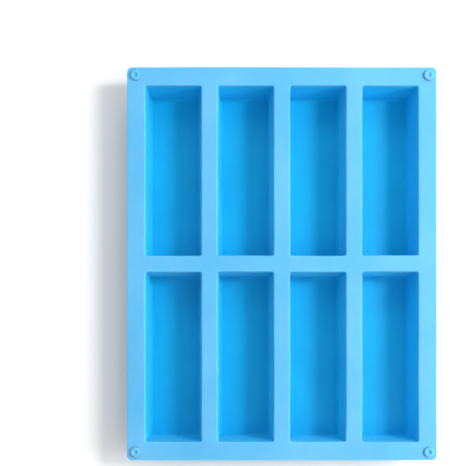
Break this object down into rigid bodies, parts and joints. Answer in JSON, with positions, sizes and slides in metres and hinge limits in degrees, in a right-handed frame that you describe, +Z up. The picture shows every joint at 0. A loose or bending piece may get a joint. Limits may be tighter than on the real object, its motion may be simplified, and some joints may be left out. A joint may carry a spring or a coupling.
{
  "type": "silicone soap mould",
  "caption": "Flexible silicone mould with long rectangular bar cavities in a flat deck, open at the top, for soap, wax or resin.",
  "frame": {"origin": "middle of the footprint, level with the underside of the cups", "axes": "+Z up out of the cavities, +Y along the bars, +X across them"},
  "size_m": [0.2284, 0.29, 0.0296],
  "materials": {
    "silicone": "satin, slightly translucent sky-blue silicone"
  },
  "bodies": {
    "root": {"deck": "silicone", "cup_row1_column1": "silicone", "cup_row1_column2": "silicone", "cup_row1_column3": "silicone", "cup_row1_column4": "silicone", "cup_row2_column1": "silicone", "cup_row2_column2": "silicone", "cup_row2_column3": "silicone", "cup_row2_column4": "silicone", "rim_left": "silicone", "rim_right": "silicone", "rim_front": "silicone", "rim_back": "silicone", "pad_front_left": "silicone", "pad_front_right": "silicone", "pad_back_left": "silicone", "pad_back_right": "silicone", "stud_front_left": "silicone", "stud_front_right": "silicone", "stud_back_left": "silicone", "stud_back_right": "silicone"}
  },
  "joints": []
}
